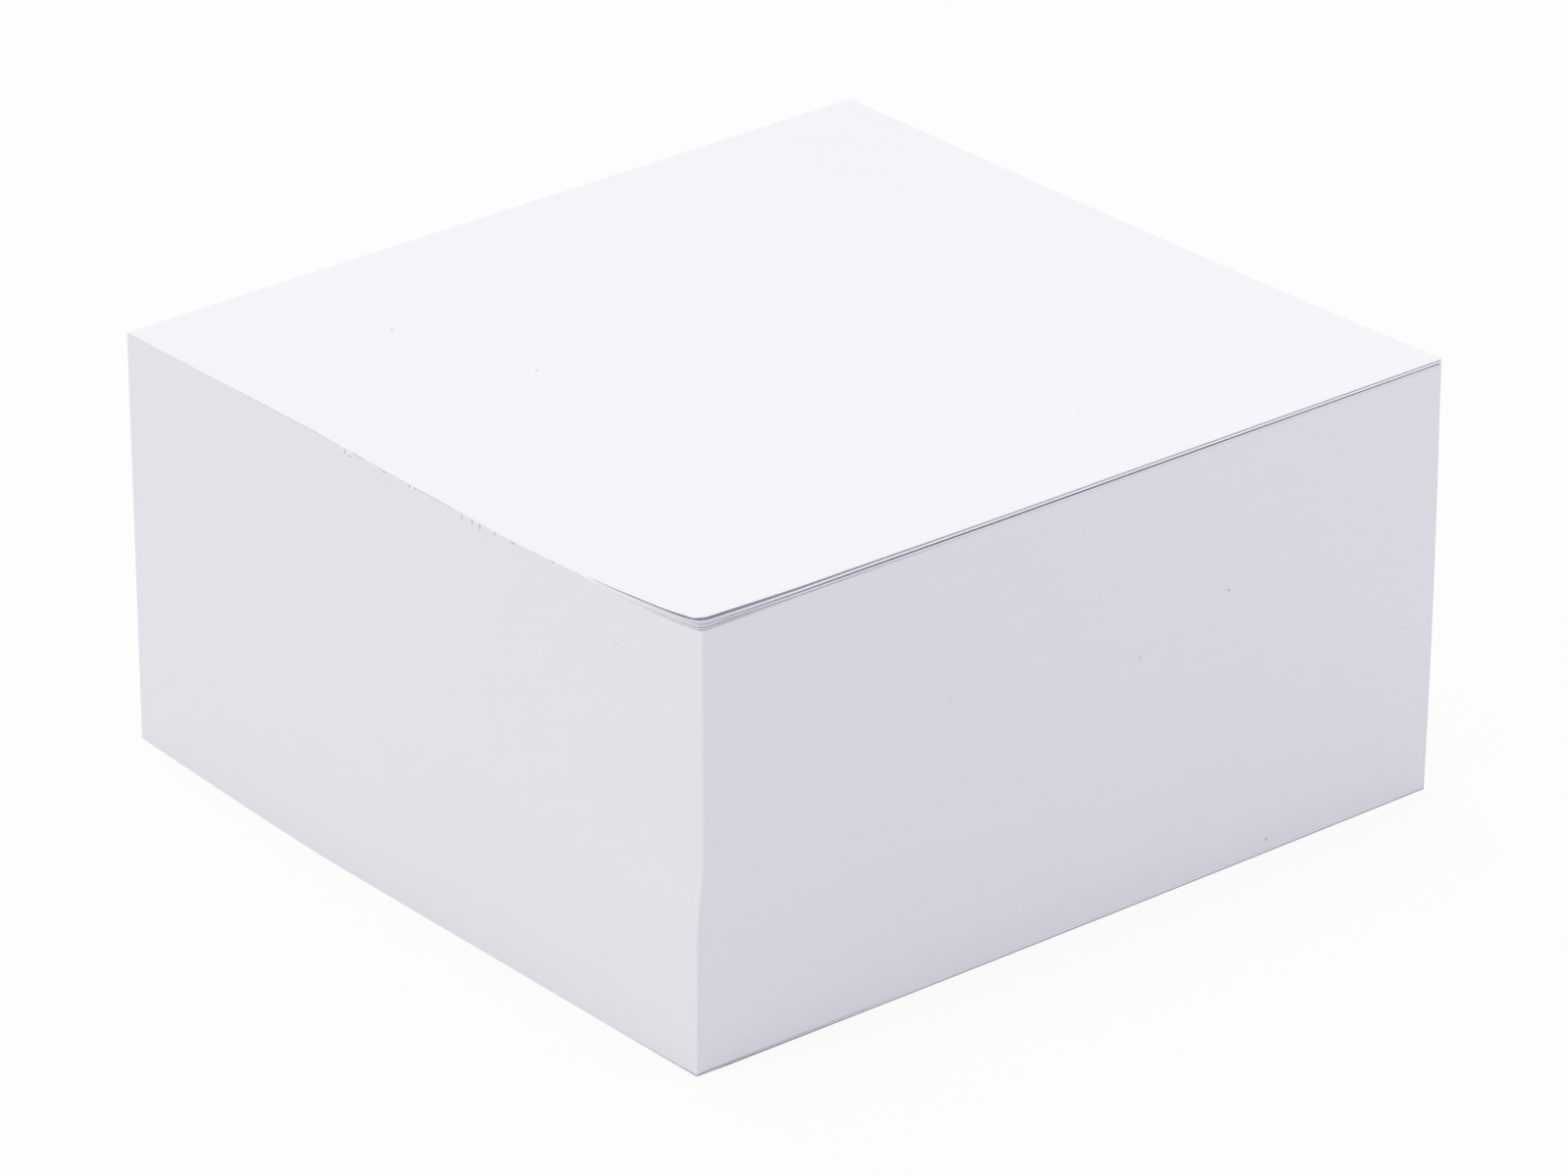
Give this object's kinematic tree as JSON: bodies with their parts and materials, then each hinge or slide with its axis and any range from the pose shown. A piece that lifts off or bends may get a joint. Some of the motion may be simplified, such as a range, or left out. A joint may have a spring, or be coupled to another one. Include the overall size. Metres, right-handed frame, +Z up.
{
  "type": "memo cube refill",
  "caption": "Square block of plain white note sheets, glued along one edge, with the top sheets lifting at the front corner.",
  "frame": {"origin": "middle of the base, on the surface that the block stands on", "axes": "+Z up through the stack, -X towards the glued edge, -Y towards the cut front face below the lifted sheets"},
  "size_m": [0.0912, 0.0878, 0.0457],
  "materials": {
    "sheet_paper": "uncoated white writing paper",
    "page_edges": "knife-cut page edges with fine sheet lines",
    "glue_film": "thin dried white padding glue, smooth and matt"
  },
  "bodies": {
    "root": {"sheet_block": "page_edges", "glue_film": "glue_film", "bottom_sheet": "sheet_paper", "loose_sheet_6": "sheet_paper", "loose_sheet_5": "sheet_paper", "loose_sheet_4": "sheet_paper", "loose_sheet_3": "sheet_paper", "loose_sheet_2": "sheet_paper", "top_sheet": "sheet_paper"}
  },
  "joints": []
}
